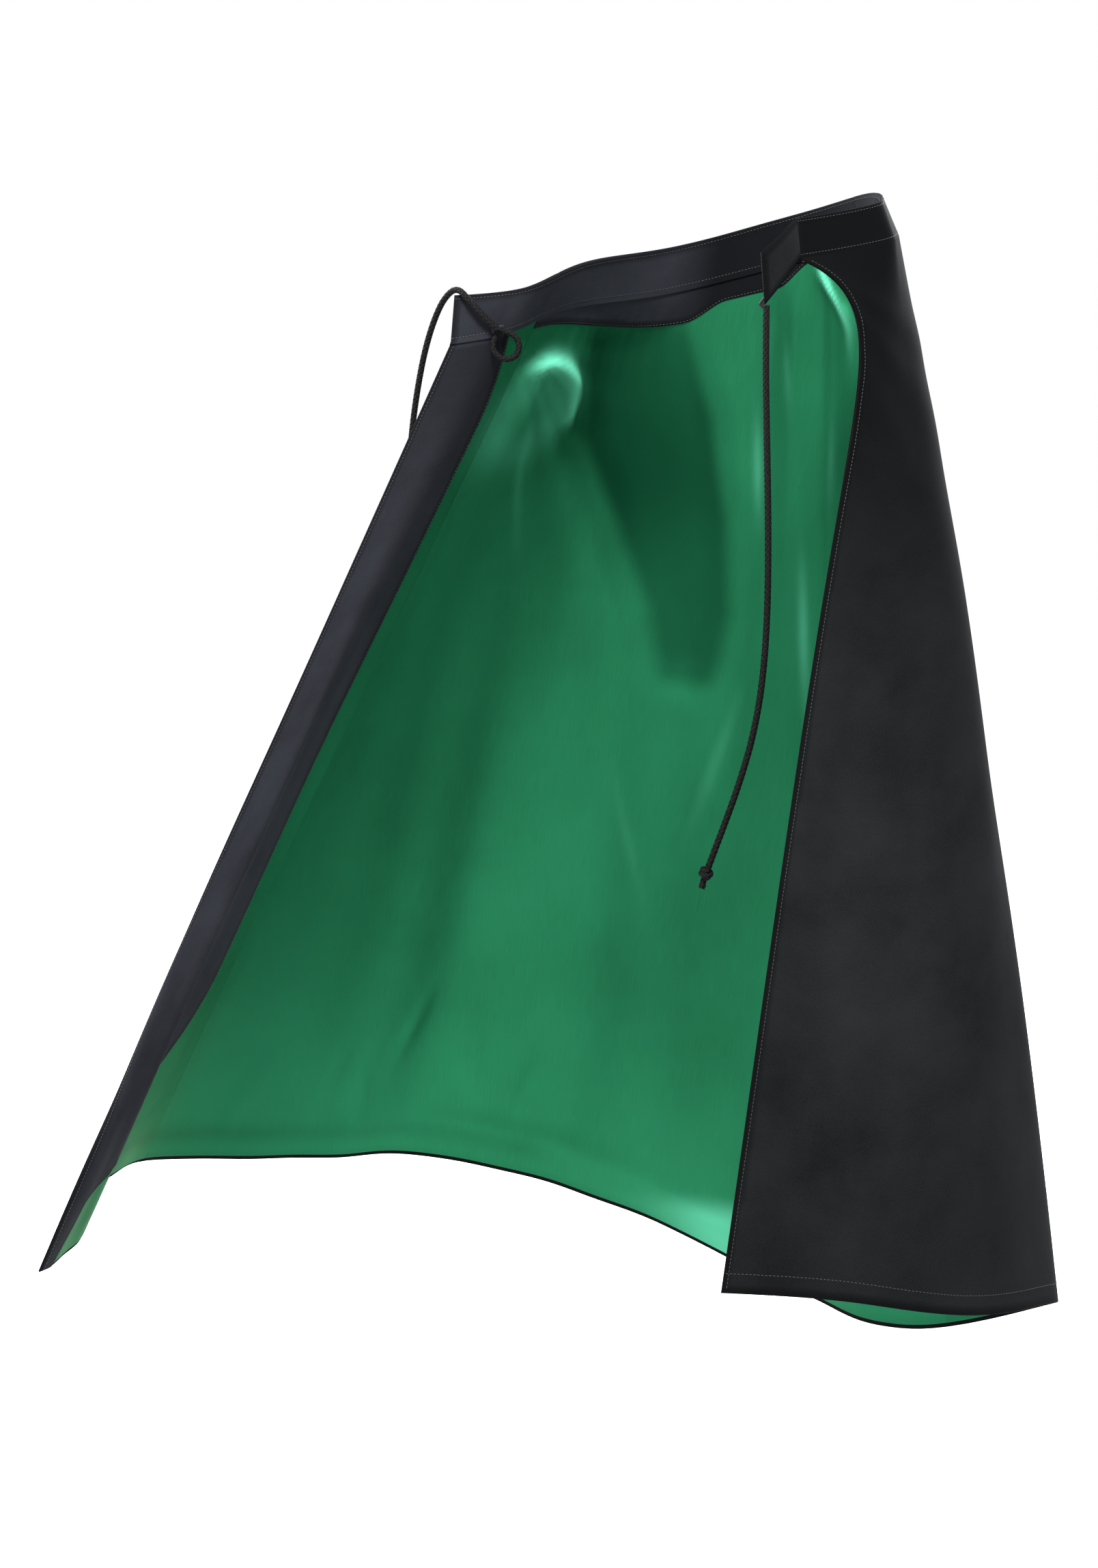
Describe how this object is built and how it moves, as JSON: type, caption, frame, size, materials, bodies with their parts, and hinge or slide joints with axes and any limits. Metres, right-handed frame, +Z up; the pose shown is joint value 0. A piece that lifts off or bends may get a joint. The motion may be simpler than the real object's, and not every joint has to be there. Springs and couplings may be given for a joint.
{
  "type": "superhero cape",
  "caption": "Full-length two-tone costume cape: black shell, satin lining, stitched neck band, two neck tie cords, and front panels that swing at the side seams.",
  "frame": {"origin": "midway between the two shoulder corners of the neck band's top edge, where the cape hangs on the wearer's shoulders", "axes": "+Z up, +X to the wrapped front panel (right as seen from the front), -Y towards the wearer's front"},
  "size_m": [1.1905, 0.7175, 1.4074],
  "materials": {
    "black_shell": "matte black twill costume cloth, edges slightly darker",
    "black_facing": "matte black woven facings and inner neck band, bluish grey in the light",
    "satin_lining": "green polyester satin, soft sheen with pale mint highlights on the folds",
    "interfacing": "charcoal non-woven fusible stiffener, hidden inside the band",
    "black_cord": "matte black braided cord and its stitching"
  },
  "bodies": {
    "root": {"back_band_inner": "black_facing", "back_band_interfacing": "interfacing", "back_band_outer": "black_shell", "back_lining": "satin_lining", "back_neck_facing": "black_facing", "back_panel": "black_shell"},
    "left_front": {"left_front_band_inner": "black_facing", "left_front_band_interfacing": "interfacing", "left_front_band_outer": "black_shell", "left_front_facing": "black_facing", "left_front_lining": "satin_lining", "left_front_panel": "black_shell", "left_tie": "black_cord", "left_tie_knot": "black_cord", "left_tie_loop": "black_cord", "left_tie_tack": "black_cord"},
    "right_front": {"right_band_tab": "black_shell", "right_front_band_inner": "black_facing", "right_front_band_interfacing": "interfacing", "right_front_band_outer": "black_shell", "right_front_facing": "black_facing", "right_front_lining": "satin_lining", "right_front_panel": "black_shell", "right_tie": "black_cord", "right_tie_knot": "black_cord", "right_tie_tack": "black_cord"}
  },
  "joints": [
    {"name": "left_front_swing", "type": "hinge", "parent": "root", "child": "left_front", "pos_m": [-0.14476, 0.02702, -0.02694], "axis": [-0.4115, -0.1012, -0.9058], "range_deg": [-75, 15]},
    {"name": "right_front_swing", "type": "hinge", "parent": "root", "child": "right_front", "pos_m": [0.21428, 0.1488, 0.06894], "axis": [-0.1142, 0.1908, 0.975], "range_deg": [-10, 70]}
  ]
}
